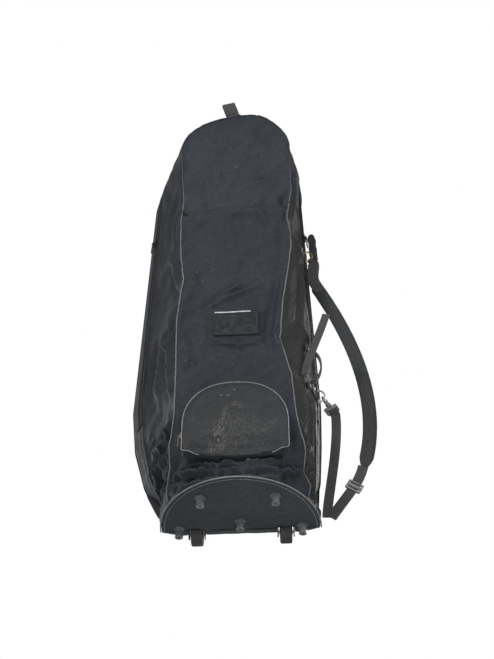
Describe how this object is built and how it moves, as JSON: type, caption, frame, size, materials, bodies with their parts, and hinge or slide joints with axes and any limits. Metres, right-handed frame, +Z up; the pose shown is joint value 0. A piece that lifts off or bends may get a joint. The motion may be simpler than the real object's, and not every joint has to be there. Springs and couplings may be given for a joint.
{
  "type": "golf travel case",
  "caption": "Soft wheeled travel cover for a golf bag: zipped fabric body with domed front pocket, card pocket, stiff D-shaped base on feet, side shoulder strap and handles.",
  "frame": {"origin": "centre of the middle foot's ring, where it rests on the ground", "axes": "+Z up along the case, +X to the right seen from the front, -Y out of the front panel"},
  "size_m": [0.6241, 0.3063, 1.3892],
  "materials": {
    "base_fabric": "tight woven polyester, matt",
    "body_fabric": "woven polyester with a slight sheen",
    "gusset_fabric": "woven polyester with a slight sheen",
    "piping": "light grey corded piping",
    "foam": "lined foam",
    "board": "moulded board",
    "zip_tape": "woven tape",
    "zip_teeth": "nylon coil",
    "zip_metal": "dark painted die cast",
    "card_trim": "smooth coated trim",
    "clear_film": "clear soft film",
    "pale_binding": "shiny pale edge strip",
    "webbing": "ribbed webbing",
    "handle_cord": "dark smooth webbing",
    "pad_fabric": "padded woven polyester",
    "brass": "worn plated brass",
    "nickel": "plated steel",
    "black_plastic": "glossy moulded plastic",
    "housing_plastic": "moulded plastic",
    "tyre_rubber": "hard rubber tread",
    "hub_plastic": "moulded hub",
    "steel": "zinc plated"
  },
  "bodies": {
    "case": {"base_board": "board", "base_cover": "base_fabric", "rear_bevel": "base_fabric", "base_piping": "piping", "front_panel": "body_fabric", "yoke_panel": "body_fabric", "left_gusset": "gusset_fabric", "top_gusset": "body_fabric", "right_gusset": "gusset_fabric", "back_flange": "gusset_fabric", "back_panel": "gusset_fabric", "panel_piping": "piping", "hood_padding": "foam", "main_zip_tape": "zip_tape", "main_zip_teeth": "zip_teeth", "front_pocket_face": "body_fabric", "front_pocket_gusset": "body_fabric", "front_pocket_piping": "piping", "pocket_zip": "zip_tape", "card_pocket": "card_trim", "card_window": "clear_film", "card_pocket_binding": "pale_binding", "top_loop_anchor": "webbing", "side_handle_anchors": "webbing", "upper_ring_tab": "webbing", "lower_ring_tab": "webbing", "tab_rivets": "nickel", "axles": "steel", "left_housing": "housing_plastic", "right_housing": "housing_plastic", "housing_screws": "steel", "feet": "black_plastic", "foot_screws": "steel", "foot_washers": "steel", "foot_nuts": "steel"},
    "left_wheel": {"left_tyre": "tyre_rubber", "left_hub": "hub_plastic"},
    "right_wheel": {"right_tyre": "tyre_rubber", "right_hub": "hub_plastic"},
    "left_zip_slider": {"left_slider": "zip_metal"},
    "left_zip_pull": {"left_pull": "zip_metal"},
    "right_zip_slider": {"right_slider": "zip_metal"},
    "right_zip_pull": {"right_pull": "zip_metal"},
    "pocket_zip_slider": {"pocket_slider": "zip_metal"},
    "pocket_zip_pull": {"pocket_pull": "zip_metal"},
    "top_handle": {"top_loop": "webbing"},
    "side_handle": {"side_handle": "handle_cord"},
    "strap": {"upper_ring": "brass", "lower_ring": "nickel", "strap_upper_webbing": "webbing", "shoulder_pad": "pad_fabric", "strap_lower_webbing": "webbing", "strap_rivet": "nickel", "hook_swivel": "black_plastic"},
    "adjuster": {"strap_adjuster": "black_plastic"},
    "hook": {"snap_hook": "nickel", "hook_gate_pin": "nickel"},
    "gate": {"hook_gate": "nickel"},
    "tail": {"webbing_tail": "webbing"}
  },
  "joints": [
    {"name": "left_wheel_spin", "type": "hinge", "parent": "case", "child": "left_wheel", "pos_m": [-0.108, 0.067, 0.028], "axis": [1, 0, 0], "continuous": true},
    {"name": "right_wheel_spin", "type": "hinge", "parent": "case", "child": "right_wheel", "pos_m": [0.108, 0.067, 0.028], "axis": [1, 0, 0], "continuous": true},
    {"name": "left_zip_slide", "type": "slide", "parent": "case", "child": "left_zip_slider", "axis": [0.0528, 0.0076, 0.9986], "range_m": [-0.52, 0.12]},
    {"name": "left_pull_flip", "type": "hinge", "parent": "left_zip_slider", "child": "left_zip_pull", "pos_m": [-0.23911, 0.04922, 0.95553], "axis": [-0.4918, 0.8705, 0.0194], "range_deg": [0, 150]},
    {"name": "right_zip_slide", "type": "slide", "parent": "case", "child": "right_zip_slider", "axis": [-0.0356, 0.0076, 0.9993], "range_m": [-0.05, 0.12]},
    {"name": "right_pull_flip", "type": "hinge", "parent": "right_zip_slider", "child": "right_zip_pull", "pos_m": [0.18788, 0.05219, 0.95539], "axis": [-0.2122, -0.9772, -0.0001], "range_deg": [0, 150]},
    {"name": "pocket_zip_slide", "type": "slide", "parent": "case", "child": "pocket_zip_slider", "axis": [0, 0.1599, 0.9871], "range_m": [-0.035, 0.028]},
    {"name": "pocket_pull_flip", "type": "hinge", "parent": "pocket_zip_slider", "child": "pocket_zip_pull", "pos_m": [-0.1334, -0.18907, 0.14293], "axis": [0, 0.9871, -0.1599], "range_deg": [0, 150]},
    {"name": "top_loop_swing", "type": "hinge", "parent": "case", "child": "top_handle", "pos_m": [-0.006, -0.056, 1.3295], "axis": [0.9613, 0, 0.2756], "range_deg": [-55, 55]},
    {"name": "side_handle_swing", "type": "hinge", "parent": "case", "child": "side_handle", "pos_m": [0.18206, -0.04045, 0.396], "axis": [-0.0162, 0.0323, 0.9993], "range_deg": [-50, 50]},
    {"name": "strap_swing", "type": "hinge", "parent": "case", "child": "strap", "pos_m": [0.19981, 0.035, 0.404], "axis": [-0.0351, 0, 0.9994], "range_deg": [-60, 40]},
    {"name": "adjuster_slide", "type": "slide", "parent": "strap", "child": "adjuster", "axis": [-0.5414, 0, -0.8407], "range_m": [-0.006, 0.006]},
    {"name": "hook_swivel_turn", "type": "hinge", "parent": "strap", "child": "hook", "pos_m": [0.21455, 0.035, 0.39368], "axis": [0.5, 0, -0.866], "range_deg": [-20, 20]},
    {"name": "hook_gate_open", "type": "hinge", "parent": "hook", "child": "gate", "pos_m": [0.2198, 0.0286, 0.38458], "axis": [0.866, 0, 0.5], "range_deg": [0, 20], "stiffness_Nm_per_rad": 0.01},
    {"name": "tail_swing", "type": "hinge", "parent": "case", "child": "tail", "pos_m": [0.16692, -0.08854, 0.385], "axis": [0, 1, 0], "range_deg": [-5, 60]}
  ]
}
